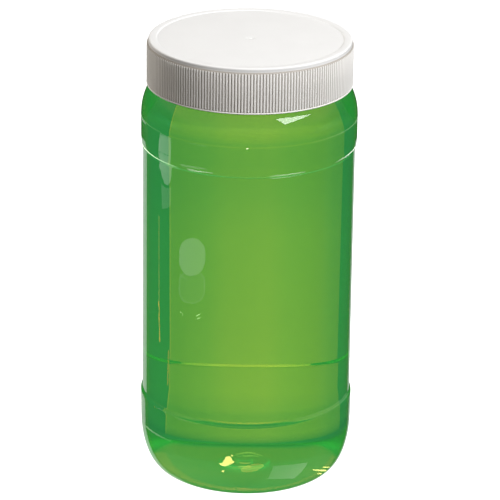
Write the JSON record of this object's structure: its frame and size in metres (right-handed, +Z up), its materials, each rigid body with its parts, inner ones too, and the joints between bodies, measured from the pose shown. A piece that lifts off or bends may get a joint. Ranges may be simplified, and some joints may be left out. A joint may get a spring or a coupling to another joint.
{
  "type": "disinfectant jar",
  "caption": "Clear wide-mouth plastic jar filled with green disinfectant solution for salon tools, closed by a white ribbed screw cap with a foam liner.",
  "frame": {"origin": "centre of the bottom of the bounding box, on the jar's axis in the plane of its standing ring", "axes": "+Z up along the jar's axis, which is also the screw axis of the cap; X and Y are any two directions across it"},
  "size_m": [0.0962, 0.0962, 0.203],
  "materials": {
    "clear_pet": "clear colourless blown PET, glossy",
    "white_polypropylene": "satin white injection-moulded polypropylene",
    "white_foam": "matte white polyethylene foam",
    "green_solution": "clear yellow-green liquid"
  },
  "bodies": {
    "jar": {"jar_body": "clear_pet", "disinfectant_solution": "green_solution"},
    "liner": {"cap_liner": "white_foam"},
    "cap": {"screw_cap": "white_polypropylene"}
  },
  "joints": [
    {"name": "cap_lift", "type": "slide", "parent": "jar", "child": "liner", "axis": [0, 0, 1], "range_m": [0, 0.0254]},
    {"name": "cap_turn", "type": "hinge", "parent": "liner", "child": "cap", "pos_m": [0, 0, 0.19], "axis": [0, 0, 1], "range_deg": [0, 1800]}
  ],
  "couplings": [
    {"joint": "cap_lift", "follows": "cap_turn", "m_per_rad": 0.0008085}
  ]
}
